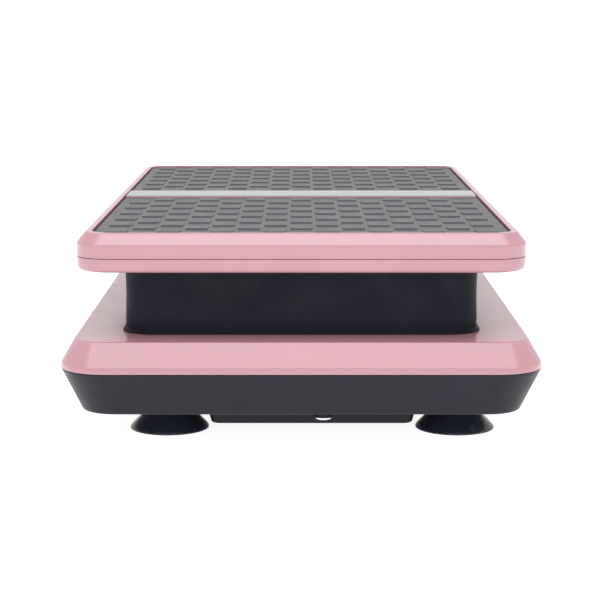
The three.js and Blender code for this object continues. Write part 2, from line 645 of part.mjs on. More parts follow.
function makePlatformTop() {
  const bottom = PLATFORM_SEAM + GAP / 2;
  const outer = block(PLATFORM, [[bottom, 0], [PLATFORM_RIM - CHAMFER_DOWN, 0], [PLATFORM_RIM, CHAMFER_IN]]);
  const inner = block(shrink(PLATFORM, WALL), [[bottom - 1, 0], [DECK_BOTTOM, 0]]);
  const tread = block(TREAD, [[DECK_TOP, 0], [PLATFORM_RIM + 1, 0]]);
  const bosses = CORNERS.map(([, sx, sy]) =>
    postZ(SCREW.boss, sx * PLATFORM_SCREW_X, sy * PLATFORM_SCREW_Y, bottom, DECK_BOTTOM + 1));
  const holes = CORNERS.map(([, sx, sy]) =>
    postZ(SCREW.shank + GAP, sx * PLATFORM_SCREW_X, sy * PLATFORM_SCREW_Y, bottom - 1, DECK_BOTTOM + 1));
  return cut(join(cut(outer, inner, tread), ...bosses), ...holes);
}

function makeFootMat() {
  const from = STRIP_HALF + GAP;
  const full = block(shrink(TREAD, GAP), [[MAT_BOTTOM, 0], [MAT_TOP, 0]]);
  return cut(full, box(-TREAD.halfX, TREAD.halfX, -from, TREAD.halfY, MAT_BOTTOM - 1, MAT_TOP + 1));
}

function makeDeckFrame() {
  const levels = [[FRAME_BOTTOM, 0], [FRAME_BOTTOM + 2, 0]];
  const plate = block({ halfX: 76, halfY: 150, radius: 8 }, levels);
  const windows = [-1, 1].flatMap((side) => [-1, 1].map((end) =>
    block({ halfX: 16, halfY: 20, radius: 6 }, [[FRAME_BOTTOM - 1, 0], [FRAME_BOTTOM + 3, 0]])
      .translate(side * 48, end * 62, 0)));
  return cut(plate, ...windows);
}

function makeHubBracket() {
  const outline = new THREE.Shape();
  outline.moveTo(-HUB_HALF, HANGER_TOP);
  outline.lineTo(-HUB_HALF, HANGER_BOTTOM);
  outline.lineTo(-15, PIVOT_Z);
  outline.absarc(0, PIVOT_Z, 15, Math.PI, Math.PI * 2);
  outline.lineTo(HUB_HALF, HANGER_BOTTOM);
  outline.lineTo(HUB_HALF, HANGER_TOP);
  outline.holes.push(hole(0, PIVOT_Z, 11 + GAP));
  const flange = box(-HUB_FLANGE, HUB_FLANGE, -HUB_HALF, HUB_HALF, HANGER_BOTTOM, HANGER_TOP);
  return join(plateX(outline, -3, 3), flange);
}

function makeDriveBracket() {
  const outline = new THREE.Shape();
  outline.moveTo(-11, HANGER_TOP);
  outline.lineTo(-8, WRIST_Z);
  outline.absarc(0, WRIST_Z, 8, Math.PI, Math.PI * 2);
  outline.lineTo(11, HANGER_TOP);
  outline.holes.push(hole(0, WRIST_Z, WRIST_RADIUS + GAP));
  const cheeks = [[-11, -8], [8, 11]].map(([x0, x1]) => plateX(outline, x0, x1));
  const flange = box(-DRIVE_FLANGE, DRIVE_FLANGE, -DRIVE_HALF, DRIVE_HALF, HANGER_BOTTOM, HANGER_TOP);
  return join(flange, ...cheeks);
}

function makeDisplayBoard() {
  const low = PLATFORM_SEAM + 0.4;
  const board = box(-48, 48, -10, 10, low, low + 1.4);
  const digits = box(-17, 17, -7, 7, low + 1, DECK_BOTTOM - GAP);
  const posts = [-44, 44].map((x) => postZ(2, x, 0, FRAME_BOTTOM + 2 + GAP, low + 1));
  return join(board, digits, ...posts);
}

function buildPlatform() {
  add('platform_top', makePlatformTop(), FINISH.pink);
  add('platform_base', makePlatformBase(), FINISH.pink);
  add('foot_mat_left', makeFootMat(), FINISH.tread);
  add('foot_mat_right', makeFootMat().rotateZ(Math.PI), FINISH.tread);
  const reach = TREAD.halfX - GAP;
  const strip = box(-reach, reach, -STRIP_HALF, STRIP_HALF, MAT_BOTTOM, MAT_TOP + STRIP_PROUD);
  add('centre_strip', strip, FINISH.strip);
  add('deck_frame', makeDeckFrame(), FINISH.zinc);
  add('display_board', makeDisplayBoard(), FINISH.board);
  for (const [name, side] of SIDES) {
    add(`hub_bracket_${name}`, makeHubBracket(), FINISH.zinc).position.x = side * HUB_X;
    const bearing = add(`hub_bearing_${name}`, ringX(11, PIVOT_RADIUS + GAP, -4, 4, 0, 0), FINISH.steel);
    bearing.position.set(side * HUB_X, 0, PIVOT_Z);
  }
  add('drive_bracket', makeDriveBracket(), FINISH.zinc).position.y = CRANK_Y;
  add('wrist_pin', rodX(WRIST_RADIUS, -13, 13, CRANK_Y, WRIST_Z), FINISH.steel);
  for (const [name, sx, sy] of CORNERS) {
    const shank = postZ(SCREW.shank, 0, 0, PLATFORM_BOTTOM - 0.6, DECK_BOTTOM - 0.5);
    const head = postZ(SCREW.head, 0, 0, PLATFORM_BOTTOM - 0.6, PLATFORM_BOTTOM + 1.2);
    const screw = add(`platform_screw_${name}`, join(shank, head), FINISH.zinc);
    screw.position.set(sx * PLATFORM_SCREW_X, sy * PLATFORM_SCREW_Y, 0);
  }
}

buildBase();
buildDrive();
buildWallFittings();
buildCrank();
buildRod();
buildPlatform();

export default group;
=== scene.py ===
"""The looks of the vibration plate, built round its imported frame. Metres, +Y along the long side, +Z up."""

import json
import math

import bmesh
import bpy
from mathutils import Matrix, Vector


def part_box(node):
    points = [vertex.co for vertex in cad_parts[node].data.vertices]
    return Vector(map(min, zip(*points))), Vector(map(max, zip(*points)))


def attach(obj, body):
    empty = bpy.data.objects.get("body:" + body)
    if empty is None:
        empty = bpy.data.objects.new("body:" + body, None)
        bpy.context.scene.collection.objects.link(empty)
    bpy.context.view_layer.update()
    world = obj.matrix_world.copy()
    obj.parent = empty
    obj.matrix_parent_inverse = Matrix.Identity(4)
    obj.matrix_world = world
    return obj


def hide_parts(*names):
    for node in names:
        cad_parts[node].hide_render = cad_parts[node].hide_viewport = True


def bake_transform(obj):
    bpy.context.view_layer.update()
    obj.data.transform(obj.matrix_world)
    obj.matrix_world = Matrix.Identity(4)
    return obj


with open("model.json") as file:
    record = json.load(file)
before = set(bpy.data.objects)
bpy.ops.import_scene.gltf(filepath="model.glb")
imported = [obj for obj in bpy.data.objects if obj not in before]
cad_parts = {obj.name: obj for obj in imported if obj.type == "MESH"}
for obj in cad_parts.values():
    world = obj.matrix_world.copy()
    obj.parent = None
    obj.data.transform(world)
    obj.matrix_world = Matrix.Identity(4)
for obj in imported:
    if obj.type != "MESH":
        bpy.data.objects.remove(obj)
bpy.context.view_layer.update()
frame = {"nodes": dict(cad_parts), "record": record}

MM = 0.001
CORNER_STEPS = 14  # segments in a moulded corner
FILLET_STEPS = 5  # segments in a rounded edge
TURN_STEPS = 96  # segments round a turned piece
SMOOTH_ANGLE = math.radians(32)
FLAT_FACE_WEIGHT = 80
CORNERS = ("front_left", "front_right", "rear_left", "rear_right")
GAP = 0.3  # mm between pieces that meet

# The camera stands in front of one short end, a little above the platform.
CAMERA_DISTANCE = 1.0157
CAMERA_HEIGHT = 0.20896
CAMERA_ASIDE = -0.0007
CAMERA_PITCH = math.radians(9.49)
CAMERA_LENS = 103.83
SENSOR = 36


# ---- measures from the frame, in millimetres ----


def outline_of(node, corner):
    """Half width, half length and corner radius of a node, seen from above."""
    low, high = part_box(node)
    return (high.x - low.x) / 2 / MM, (high.y - low.y) / 2 / MM, corner


def level_of(node, end):
    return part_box(node)[end].z / MM


def box_of(node):
    """A node's lowest corner, highest corner and middle."""
    low, high = (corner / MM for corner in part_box(node))
    return low, high, (low + high) / 2


PLATFORM = outline_of("platform_top", 16.5)
BASE = outline_of("base_tray", 24)
NECK = outline_of("neck_boot", 12)
PLATFORM_BOTTOM = level_of("platform_base", 0)
PLATFORM_SEAM = (level_of("platform_base", 1), level_of("platform_top", 0))
RIM = level_of("platform_top", 1)
BASE_BOTTOM = level_of("base_tray", 0)
BASE_SEAM = (level_of("base_tray", 1), level_of("base_cover", 0))
BASE_TOP = level_of("base_cover", 1)
MAT_TOP = level_of("foot_mat_left", 1)
MAT_BOTTOM = level_of("foot_mat_left", 0)
WALL = 2.5


# ---- mesh building ----


def new_object(name, mesh):
    thing = bpy.data.objects.new(name, mesh)
    bpy.context.scene.collection.objects.link(thing)
    return thing


def from_points(name, points, faces):
    """An object from points in millimetres, with its faces turned outward."""
    mesh = bpy.data.meshes.new(name)
    mesh.from_pydata([Vector(p) * MM for p in points], [], faces)
    shape = bmesh.new()
    shape.from_mesh(mesh)
    bmesh.ops.recalc_face_normals(shape, faces=shape.faces)
    shape.to_mesh(mesh)
    shape.free()
    return new_object(name, mesh)


def inset(outline, by, z, corner=None, fillet=0.0):
    """A level of a loft: the outline drawn in by some millimetres, at a height."""
    half_x, half_y, radius = outline
    round_ = max(radius - by, 0.5) if corner is None else corner
    return (half_x - by, half_y - by, round_, z, fillet)


def toward(here, other, distance):
    """A step from one level to another, never past the middle."""
    way = other - here
    return way / way.length * min(distance, way.length * 0.49)


def rounded(levels, closed=False):
    """The levels with each fillet worked out as a short curve."""
    done = []
    count = len(levels)
    for i, (*here, fillet) in enumerate(levels):
        here = Vector(here)
        at_end = not closed and i in (0, count - 1)
        if at_end or fillet <= 0:
            done.append(here)
            continue
        before = Vector(levels[i - 1][:4])
        after = Vector(levels[(i + 1) % count][:4])
        start = here + toward(here, before, fillet)
        end = here + toward(here, after, fillet)
        for step in range(FILLET_STEPS + 1):
            t = step / FILLET_STEPS
            done.append(start * (1 - t) ** 2 + here * 2 * t * (1 - t) + end * t ** 2)
    return done


def ring(half_x, half_y, corner, z, side_steps=1):
    """Points round a rounded rectangle."""
    points = []
    for quarter, (sx, sy) in enumerate(((1, 1), (-1, 1), (-1, -1), (1, -1))):
        cx = sx * (half_x - corner)
        cy = sy * (half_y - corner)
        for step in range(CORNER_STEPS + 1):
            turn = math.pi / 2 * (quarter + step / CORNER_STEPS)
            points.append(Vector((cx + corner * math.cos(turn), cy + corner * math.sin(turn), z)))
    if side_steps > 1:
        points = with_side_points(points, side_steps)
    return points


def with_side_points(points, side_steps):
    full = []
    per_quarter = CORNER_STEPS + 1
    for i, point in enumerate(points):
        full.append(point)
        if i % per_quarter == CORNER_STEPS:
            onward = points[(i + 1) % len(points)]
            full += [point.lerp(onward, s / side_steps) for s in range(1, side_steps)]
    return full


def loft(name, levels, closed=False, side_steps=1, centre=(0.0, 0.0)):
    """A moulded shape through rounded rectangles: capped at both ends, or closed on itself."""
    rings = [ring(*level, side_steps) for level in rounded(levels, closed)]
    size = len(rings[0])
    shift = Vector((*centre, 0))
    points = [p + shift for one in rings for p in one]
    faces = []
    last = len(rings) if closed else len(rings) - 1
    for i in range(last):
        low = i * size
        high = ((i + 1) % len(rings)) * size
        for j in range(size):
            k = (j + 1) % size
            faces.append((low + j, low + k, high + k, high + j))
    if not closed:
        faces.append(tuple(range(size)))
        faces.append(tuple(range(len(points) - size, len(points))))
    return from_points(name, points, faces)


def lathe(name, profile, centre=(0.0, 0.0)):
    """A turned shape from (radius, z) points; a radius of 0 closes it on its axis."""
    points = []
    rows = []
    for radius, z in profile:
        if radius == 0:
            rows.append([len(points)] * TURN_STEPS)
            points.append((centre[0], centre[1], z))
            continue
        rows.append(list(range(len(points), len(points) + TURN_STEPS)))
        for step in range(TURN_STEPS):
            turn = 2 * math.pi * step / TURN_STEPS
            points.append((centre[0] + radius * math.cos(turn), centre[1] + radius * math.sin(turn), z))
    faces = []
    for low, high in zip(rows, rows[1:]):
        for j in range(TURN_STEPS):
            k = (j + 1) % TURN_STEPS
            face = dict.fromkeys((low[j], low[k], high[k], high[j]))
            faces.append(tuple(face))
    return from_points(name, points, faces)


def curve_through(points, steps):
    """A smooth curve through (radius, z) points."""
    done = []
    count = len(points)
    for i in range(count - 1):
        p0, p1, p2, p3 = (Vector(points[min(max(i + k, 0), count - 1)]) for k in (-1, 0, 1, 2))
        for step in range(steps):
            t = step / steps
            done.append(tuple(0.5 * (2 * p1 + (p2 - p0) * t + (2 * p0 - 5 * p1 + 4 * p2 - p3) * t ** 2
                                     + (3 * p1 - p0 - 3 * p2 + p3) * t ** 3)))
    return done + [tuple(points[-1])]


def wire(name, points, radius, sides=16):
    """A round wire along a path in millimetres that lies in one level plane."""
    path = [Vector(p) for p in points]
    rings = []
    for i, here in enumerate(path):
        along = (path[min(i + 1, len(path) - 1)] - path[max(i - 1, 0)]).normalized()
        across = Vector((along.y, -along.x, 0))
        turns = [2 * math.pi * k / sides for k in range(sides)]
        rings += [here + radius * (across * math.cos(t) + Vector((0, 0, math.sin(t)))) for t in turns]
    faces = []
    for low in range(0, (len(path) - 1) * sides, sides):
        high = low + sides
        for j in range(sides):
            k = (j + 1) % sides
            faces.append((low + j, low + k, high + k, high + j))
    faces.append(tuple(range(sides)))
    faces.append(tuple(range(len(rings) - sides, len(rings))))
    return from_points(name, rings, faces)


def block(name, low, high):
    """A plain block between two corners, in millimetres."""
    points = [(x, y, z) for x in (low[0], high[0]) for y in (low[1], high[1]) for z in (low[2], high[2])]
    faces = [(0, 1, 3, 2), (4, 6, 7, 5), (0, 4, 5, 1), (2, 3, 7, 6), (0, 2, 6, 4), (1, 5, 7, 3)]
    return from_points(name, points, faces)


def bake_modifiers(thing):
    """The object's mesh with its modifiers in it."""
    graph = bpy.context.evaluated_depsgraph_get()
    mesh = bpy.data.meshes.new_from_object(thing.evaluated_get(graph))
    thing.modifiers.clear()
    thing.data = mesh
    return thing


def carve(thing, cutters, operation="DIFFERENCE"):
    for cutter in cutters:
        tool = thing.modifiers.new("carve", "BOOLEAN")
        tool.operation = operation
        tool.solver = "EXACT"
        tool.object = cutter
    bake_modifiers(thing)
    for cutter in cutters:
        bpy.data.objects.remove(cutter)
    return thing


def smooth(thing, angle=SMOOTH_ANGLE):
    """Smooth shading that leaves flat faces flat, with edges sharper than the angle kept."""
    thing.data.shade_smooth()
    thing.data.set_sharp_from_angle(angle=angle)
    weights = thing.modifiers.new("flat faces stay flat", "WEIGHTED_NORMAL")
    weights.keep_sharp = True
    weights.weight = FLAT_FACE_WEIGHT
    return thing


# ---- materials ----


class Shader:
    """A small helper over a Principled material and its nodes."""

    def __init__(self, name, colour, roughness, **fixed):
        self.material = bpy.data.materials.new(name)
        self.material.use_nodes = True
        self.tree = self.material.node_tree
        self.main = self.tree.nodes["Principled BSDF"]
        self.colour = colour
        self.main.inputs["Base Color"].default_value = (*colour, 1)
        self.main.inputs["Roughness"].default_value = roughness
        for socket, value in fixed.items():
            self.main.inputs[socket.replace("_", " ")].default_value = value
        self.place = self.add("ShaderNodeTexCoord").outputs["Object"]
        self.height = None

    def add(self, kind, **settings):
        node = self.tree.nodes.new(kind)
        for key, value in settings.items():
            setattr(node, key, value)
        return node

    def link(self, output, socket):
        self.tree.links.new(output, socket)

    def noise(self, size_mm, detail=3.0, stretch=(1, 1, 1)):
        """Noise whose grains are about size_mm across."""
        mapping = self.add("ShaderNodeMapping")
        mapping.inputs["Scale"].default_value = stretch
        self.link(self.place, mapping.inputs["Vector"])
        node = self.add("ShaderNodeTexNoise")
        node.inputs["Scale"].default_value = 1 / (size_mm * MM)
        node.inputs["Detail"].default_value = detail
        self.link(mapping.outputs["Vector"], node.inputs["Vector"])
        return node.outputs["Fac"]

    def spread(self, factor, low, high):
        node = self.add("ShaderNodeMapRange")
        node.inputs["From Min"].default_value = 0.3
        node.inputs["From Max"].default_value = 0.7
        node.inputs["To Min"].default_value = low
        node.inputs["To Max"].default_value = high
        self.link(factor, node.inputs["Value"])
        return node.outputs["Result"]

    def vary_colour(self, factor, darker, lighter):
        """The base colour times a factor that runs between darker and lighter."""
        mix = self.add("ShaderNodeMix", data_type="RGBA")
        mix.inputs["A"].default_value = (*(c * darker for c in self.colour), 1)
        mix.inputs["B"].default_value = (*(c * lighter for c in self.colour), 1)
        self.link(self.spread(factor, 0, 1), mix.inputs["Factor"])
        self.link(mix.outputs["Result"], self.main.inputs["Base Color"])

    def vary_roughness(self, factor, low, high):
        self.link(self.spread(factor, low, high), self.main.inputs["Roughness"])

    def bump(self, factor, depth_mm, strength=1.0):
        node = self.add("ShaderNodeBump")
        node.inputs["Distance"].default_value = depth_mm * MM
        node.inputs["Strength"].default_value = strength
        self.link(factor, node.inputs["Height"])
        if self.height is not None:
            self.link(self.height, node.inputs["Normal"])
        self.height = node.outputs["Normal"]
        self.link(self.height, self.main.inputs["Normal"])


def pink_plastic():
    s = Shader("pink plastic", (0.386, 0.192, 0.223), 0.2, Specular_IOR_Level=0.8)
    s.vary_colour(s.noise(60, 2), 0.985, 1.015)
    s.vary_roughness(s.noise(25, 4), 0.17, 0.23)
    s.bump(s.noise(0.5, 2), 0.01, 0.5)
    return s.material


def charcoal_plastic():
    s = Shader("charcoal plastic", (0.0055, 0.0068, 0.0135), 0.34, Specular_IOR_Level=0.26)
    s.vary_colour(s.noise(40, 3), 0.92, 1.08)
    s.vary_roughness(s.noise(15, 4), 0.36, 0.46)
    s.bump(s.noise(0.6, 3), 0.03, 0.6)
    return s.material


def sleeve_rubber():
    s = Shader("sleeve rubber", (0.003, 0.003, 0.011), 0.62, Specular_IOR_Level=0.22)
    s.vary_colour(s.noise(30, 4), 0.88, 1.12)
    s.vary_roughness(s.noise(12, 4), 0.55, 0.7)
    s.bump(s.noise(0.4, 3), 0.03, 0.6)
    s.bump(s.noise(45, 2, (1, 1, 0.4)), 0.5, 0.35)
    return s.material


def mat_rubber():
    s = Shader("mat rubber", (0.041, 0.042, 0.049), 0.43)
    s.vary_colour(s.noise(20, 4), 0.9, 1.1)
    s.vary_roughness(s.noise(8, 4), 0.38, 0.48)
    s.bump(s.noise(0.35, 3), 0.03, 0.7)
    return s.material


def strip_plastic():
    s = Shader("strip plastic", (0.345, 0.342, 0.345), 0.35)
    s.vary_roughness(s.noise(6, 3, (0.1, 1, 1)), 0.3, 0.42)
    s.bump(s.noise(0.4, 2, (0.05, 1, 1)), 0.01, 0.5)
    return s.material


def foot_rubber():
    s = Shader("foot rubber", (0.019, 0.021, 0.033), 0.22)
    s.vary_roughness(s.noise(6, 4), 0.16, 0.32)
    s.bump(s.noise(4, 3), 0.05, 0.2)
    return s.material


def metal(name, colour, low, high, stretch=(1, 1, 1)):
    s = Shader(name, colour, low, Metallic=1.0)
    s.vary_colour(s.noise(12, 4), 0.9, 1.06)
    s.vary_roughness(s.noise(1.5, 5, stretch), low, high)
    s.bump(s.noise(0.5, 4, stretch), 0.01, 0.5)
    return s.material


def plain(name, colour, low, high, grain_mm=0.5):
    s = Shader(name, colour, low)
    s.vary_colour(s.noise(15, 3), 0.9, 1.1)
    s.vary_roughness(s.noise(8, 3), low, high)
    s.bump(s.noise(grain_mm, 3), 0.02, 0.6)
    return s.material


MATERIALS = {
    "pink_shell": pink_plastic(),
    "charcoal_shell": charcoal_plastic(),
    "sleeve_rubber": sleeve_rubber(),
    "mat_rubber": mat_rubber(),
    "strip_plastic": strip_plastic(),
    "foot_rubber": foot_rubber(),
    "bright_steel": metal("bright steel", (0.72, 0.73, 0.75), 0.12, 0.25, (0.1, 1, 1)),
    "zinc_steel": metal("zinc plated steel", (0.6, 0.62, 0.64), 0.3, 0.5),
    "cast_metal": metal("cast metal", (0.2, 0.2, 0.21), 0.5, 0.75),
    "pulley_alloy": metal("turned alloy", (0.7, 0.71, 0.72), 0.25, 0.4, (1, 0.1, 0.1)),
    "motor_paint": plain("motor enamel", (0.02, 0.021, 0.024), 0.25, 0.4),
    "board_plastic": plain("circuit board", (0.02, 0.11, 0.045), 0.35, 0.5),
    "black_fitting": plain("black fitting", (0.012, 0.012, 0.014), 0.25, 0.4),
    "lead_jacket": plain("lead jacket", (0.012, 0.012, 0.014), 0.4, 0.55),
}


def dress(thing, slot):
    thing.data.materials.clear()
    thing.data.materials.append(MATERIALS[slot])


def stand_for(thing, slot, body, *nodes):
    """Finishes a piece: its material, its body, and the CAD nodes that it stands for."""
    dress(thing, slot)
    if body:
        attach(thing, body)
    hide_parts(*nodes)
    return thing


# ---- screws ----

SCREW_SHANK = 1.7
SCREW_LEAD_IN = 1.2  # how much wider the recess is below its face
SHANK_DEEP = 4
HEAD_TALL = 1.8
CROSS_LONG = 1.9
CROSS_WIDE = 0.5
CROSS_DEEP = 1.1


def screw_hole(node, face, deep):
    """A cutter for the recess that takes a screw's head, and for its shank above that."""
    low, high, middle = box_of(node)
    head = (high.x - low.x) / 2 + GAP
    shank = SCREW_SHANK + GAP
    profile = [(0, face - 2), (head + SCREW_LEAD_IN, face - 2), (head, face + 0.5), (head, face + deep),
               (shank, face + deep), (shank, face + SHANK_DEEP), (0, face + SHANK_DEEP)]
    return lathe("screw hole", profile, (middle.x, middle.y))


def make_screw(node):
    """A pan head with a cross recess, and a plain shank."""
    low, high, middle = box_of(node)
    head = (high.x - low.x) / 2
    neck = low.z + HEAD_TALL
    profile = [(0, low.z), (head * 0.55, low.z + 0.06), (head * 0.85, low.z + 0.35), (head, low.z + 0.9),
               (head, neck), (SCREW_SHANK, neck), (SCREW_SHANK, high.z), (0, high.z)]
    screw = lathe(node + "_body", profile, (middle.x, middle.y))
    cross = []
    for x, y in ((CROSS_WIDE, CROSS_LONG), (CROSS_LONG, CROSS_WIDE)):
        corner = (middle.x - x, middle.y - y, low.z - 1)
        cross.append(block("arm", corner, (middle.x + x, middle.y + y, low.z + CROSS_DEEP)))
    return smooth(carve(screw, cross))


# ---- platform ----

RIB_WIDTH = 0.5
CHAMFER_IN = 4.4
CHAMFER_DOWN = 5.4
RIM_WIDTH = 2.95
TREAD_CORNER = 11
UNDERSIDE_ROUND = 4.6  # the lower casing's rounded bottom edge
FLOOR_INSET = 16  # the ring in the middle of a casing's floor, where its cap starts
TONGUE_IN = WALL + 0.2
TONGUE_RISE = 1.6
TONGUE_THICK = 1.2
PLATFORM_SCREW_DEEP = 1.6


def make_platform_top():
    low = PLATFORM_SEAM[1]
    tread = CHAMFER_IN + RIM_WIDTH
    deck = MAT_BOTTOM - GAP
    levels = [
        inset(PLATFORM, tread, deck, TREAD_CORNER),
        inset(PLATFORM, tread, RIM, TREAD_CORNER, 0.5),
        inset(PLATFORM, CHAMFER_IN, RIM, None, 0.7),
        inset(PLATFORM, 0, RIM - CHAMFER_DOWN, None, 1.1),
        inset(PLATFORM, 0, low, None, 0.35),
        inset(PLATFORM, WALL, low, None, 0.2),
        inset(PLATFORM, WALL, deck - WALL),
    ]
    return smooth(loft("platform_upper_casing", levels))


def make_platform_base():
    seam = PLATFORM_SEAM[0]
    levels = [
        inset(PLATFORM, FLOOR_INSET, PLATFORM_BOTTOM, 4),
        inset(PLATFORM, 0, PLATFORM_BOTTOM, None, UNDERSIDE_ROUND),
        inset(PLATFORM, 0, seam, None, 0.35),
        inset(PLATFORM, TONGUE_IN, seam, None, 0.1),
        inset(PLATFORM, TONGUE_IN, seam + TONGUE_RISE, None, 0.2),
        inset(PLATFORM, TONGUE_IN + TONGUE_THICK, seam + TONGUE_RISE, None, 0.2),
        inset(PLATFORM, TONGUE_IN + TONGUE_THICK, PLATFORM_BOTTOM + WALL),
    ]
    casing = loft("platform_lower_casing", levels)
    windows = []
    for node in ("hub_bracket_left", "hub_bracket_right", "drive_bracket"):
        low, high, _ = box_of(node)
        windows.append(block("window", (low.x - GAP, low.y - GAP, PLATFORM_BOTTOM - 2),
                             (high.x + GAP, high.y + GAP, PLATFORM_BOTTOM + 4)))
    screws = [screw_hole("platform_screw_" + corner, PLATFORM_BOTTOM, PLATFORM_SCREW_DEEP)
              for corner in CORNERS]
    return smooth(carve(casing, windows + screws))


def make_strip_rib(end):
    """The thin rib of the casing between the strip and one mat."""
    low, high, _ = box_of("centre_strip")
    levels = [
        inset((high.x, RIB_WIDTH / 2, 0.3), 0, low.z, 0.3),
        inset((high.x, RIB_WIDTH / 2, 0.3), 0, MAT_TOP - 0.1, 0.3, 0.2),
        inset((high.x, RIB_WIDTH / 2, 0.3), 0.3, MAT_TOP - 0.1, 0.1),
    ]
    side = end * (high.y + RIB_WIDTH / 2 + 0.05)
    return smooth(loft("strip_rib_" + ("front" if end < 0 else "rear"), levels, centre=(0, side)))


# ---- foot mats ----

MAT_PITCH = 13.04
BLOCK_HALF = 5.55
BLOCK_ROUND = 0.9
BLOCK_HEIGHT = 0.75
BLOCK_WALL = 0.3  # how far a block's side leans in as it rises
BLOCK_CROWN = 0.12  # the share of its height that a block's top bulges
MAT_SMOOTH_ANGLE = math.radians(50)
MAT_MARGIN = 6.4  # from the recess's end wall to the first row
MAT_COLUMNS = 15
MAT_ROWS = 12
EDGE_LINES = (-0.28, -0.12, 0.0, 0.16, 0.42, 0.95)  # where the grid is cut, inward from a block's edge


def grid_lines(first, count, low, high):
    """Grid lines along one side of a mat: each cell's block edges, cut finely, and the two ends."""
    lines = [low, high]
    for k in range(count):
        middle = first + k * MAT_PITCH
        for line in EDGE_LINES:
            lines += [middle - BLOCK_HALF + line, middle + BLOCK_HALF - line]
    return sorted(lines)


def block_rise(x, y):
    """Height of a raised block's top over the mat, for a point measured from the block's middle."""
    dx = abs(x) - (BLOCK_HALF - BLOCK_ROUND)
    dy = abs(y) - (BLOCK_HALF - BLOCK_ROUND)
    outside = math.hypot(max(dx, 0), max(dy, 0)) + min(max(dx, dy), 0) - BLOCK_ROUND
    wall = min(max(-outside / BLOCK_WALL + 0.4, 0), 1)
    crown = BLOCK_CROWN * min(max(-outside / BLOCK_ROUND, 0), 1)
    return BLOCK_HEIGHT * (wall * (2 - wall) * (1 - BLOCK_CROWN) + crown)


def nearest_cell(value, first, count):
    """Number of the cell whose middle is nearest to a place along one side."""
    return min(max(round((value - first) / MAT_PITCH), 0), count - 1)


def mat_rise(x, y, first_column, first_row):
    """Height over the mat's floor: every second cell holds a raised block."""
    column = nearest_cell(x, first_column, MAT_COLUMNS)
    row = nearest_cell(y, first_row, MAT_ROWS)
    if (row + column) % 2:
        return 0.0
    return block_rise(x - first_column - column * MAT_PITCH, y - first_row - row * MAT_PITCH)


def grid_border(wide, deep):
    """Numbers of the points round the edge of a grid, in order."""
    bottom = list(range(wide))
    right = [j * wide + wide - 1 for j in range(1, deep)]
    top = [(deep - 1) * wide + i for i in range(wide - 2, -1, -1)]
    left = [j * wide for j in range(deep - 2, 0, -1)]
    return bottom + right + top + left


def slab(name, top_points, wide, deep, bottom):
    """A closed slab with a grid of points as its top and a flat bottom."""
    faces = [(j * wide + i, j * wide + i + 1, (j + 1) * wide + i + 1, (j + 1) * wide + i)
             for j in range(deep - 1) for i in range(wide - 1)]
    border = grid_border(wide, deep)
    start = len(top_points)
    points = top_points + [(top_points[i][0], top_points[i][1], bottom) for i in border]
    size = len(border)
    for i in range(size):
        k = (i + 1) % size
        faces.append((border[i], border[k], start + k, start + i))
    faces.append(tuple(range(start, start + size)))
    return from_points(name, points, faces)


def make_foot_mat(name, end):
    """end is -1 for the mat at -Y and 1 for the one at +Y."""
    low, high, _ = box_of("foot_mat_left" if end < 0 else "foot_mat_right")
    recess_end = PLATFORM[1] - CHAMFER_IN - RIM_WIDTH
    first_row = -recess_end + MAT_MARGIN + MAT_PITCH / 2
    first_column = -(MAT_COLUMNS - 1) / 2 * MAT_PITCH
    near, far = sorted((abs(low.y), abs(high.y)))
    xs = grid_lines(first_column, MAT_COLUMNS, low.x - 1, high.x + 1)
    ys = grid_lines(first_row, MAT_ROWS, -far - 1, -near - RIB_WIDTH)
    floor = MAT_TOP - BLOCK_HEIGHT
    top = [(x, y * -end, floor + mat_rise(x, y, first_column, first_row)) for y in ys for x in xs]
    mat = slab(name, top, len(xs), len(ys), MAT_BOTTOM - 1)
    outline = ((high.x - low.x) / 2, recess_end - GAP, TREAD_CORNER - GAP)
    trim = loft("trim", [inset(outline, 0, MAT_BOTTOM), inset(outline, 0, MAT_TOP + 1)])
    return smooth(carve(mat, [trim], "INTERSECT"), MAT_SMOOTH_ANGLE)


def make_centre_strip():
    low, high, _ = box_of("centre_strip")
    outline = (high.x, high.y, 1.2)
    levels = [
        inset(outline, 0.4, low.z, 0.8),
        inset(outline, 0, low.z, 1.0, 0.3),
        inset(outline, 0, high.z, 1.2, 0.7),
        inset(outline, 6, high.z + 0.05, 0.6),
    ]
    return smooth(loft("middle_trim_strip", levels))


# ---- base ----

COVER_TAPER = 7.4
TRAY_TAPER = 10.3
LIP_HEIGHT = 2.9
LIP_LEAN = 0.35
MOUTH_CORNER = 9  # the hole in the cover that the sleeve's tongue goes down


def make_base_cover():
    low = BASE_SEAM[1]
    mouth = (NECK[0] - 3, NECK[1] - 3, MOUTH_CORNER)
    levels = [
        inset(mouth, 0, BASE_TOP - WALL, MOUTH_CORNER, 0.2),
        inset(mouth, 0, BASE_TOP, MOUTH_CORNER, 0.4),
        inset(BASE, COVER_TAPER, BASE_TOP, None, 1.3),
        inset(BASE, LIP_LEAN, low + LIP_HEIGHT, None, 1.0),
        inset(BASE, 0, low, None, 0.6),
        inset(BASE, WALL, low, None, 0.3),
        inset(BASE, WALL + 0.6, low + LIP_HEIGHT, None, 0.5),
        inset(BASE, COVER_TAPER + 1.6, BASE_TOP - WALL, None, 0.5),
    ]
    return smooth(loft("base_upper_casing", levels, closed=True))


WALL_MIDDLE = (BASE_BOTTOM + BASE_SEAM[0]) / 2
WALL_LEAN = math.atan(TRAY_TAPER / (BASE_SEAM[0] - BASE_BOTTOM))
TRAY_CORNER = 17  # the corner radius round the tray's bottom
STUD_RADIUS = 3
BASE_SCREW_DEEP = 3.0
INLET_OPENING = (11.3, 6.8)  # half its width and half its height
SWITCH_OPENING = (9.8, 6.8)


